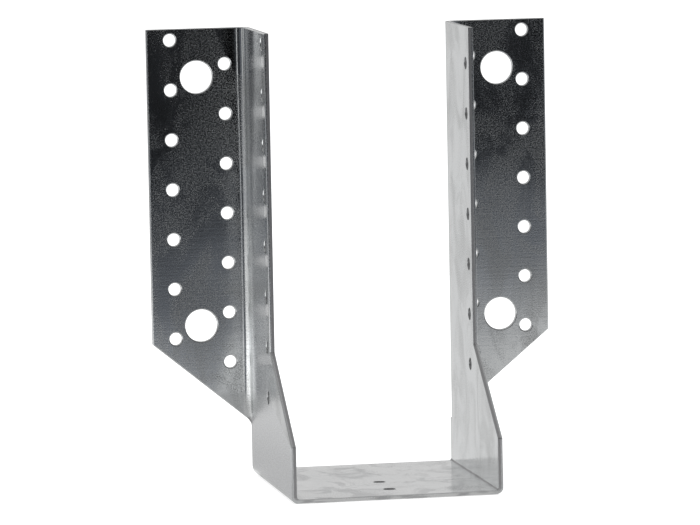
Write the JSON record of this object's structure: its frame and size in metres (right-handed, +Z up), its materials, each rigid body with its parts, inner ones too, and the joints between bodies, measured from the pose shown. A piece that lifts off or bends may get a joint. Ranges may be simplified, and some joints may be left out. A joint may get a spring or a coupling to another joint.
{
  "type": "joist hanger",
  "caption": "Face-fixed joist hanger folded from one galvanised steel sheet, with a seat, two side plates and two nail flanges.",
  "frame": {"origin": "on the seat's underside, midway from side to side and midway between the seat's front edge and the flanges' back faces", "axes": "+Z up, +Y towards the beam that the flanges are nailed to, +X to the right seen from the joist's side"},
  "size_m": [0.163, 0.09, 0.1805],
  "materials": {
    "galvanised_steel": "hot-dip galvanised sheet, semi-gloss, faint grain and handling smudges"
  },
  "bodies": {
    "root": {"hanger": "galvanised_steel"}
  },
  "joints": []
}
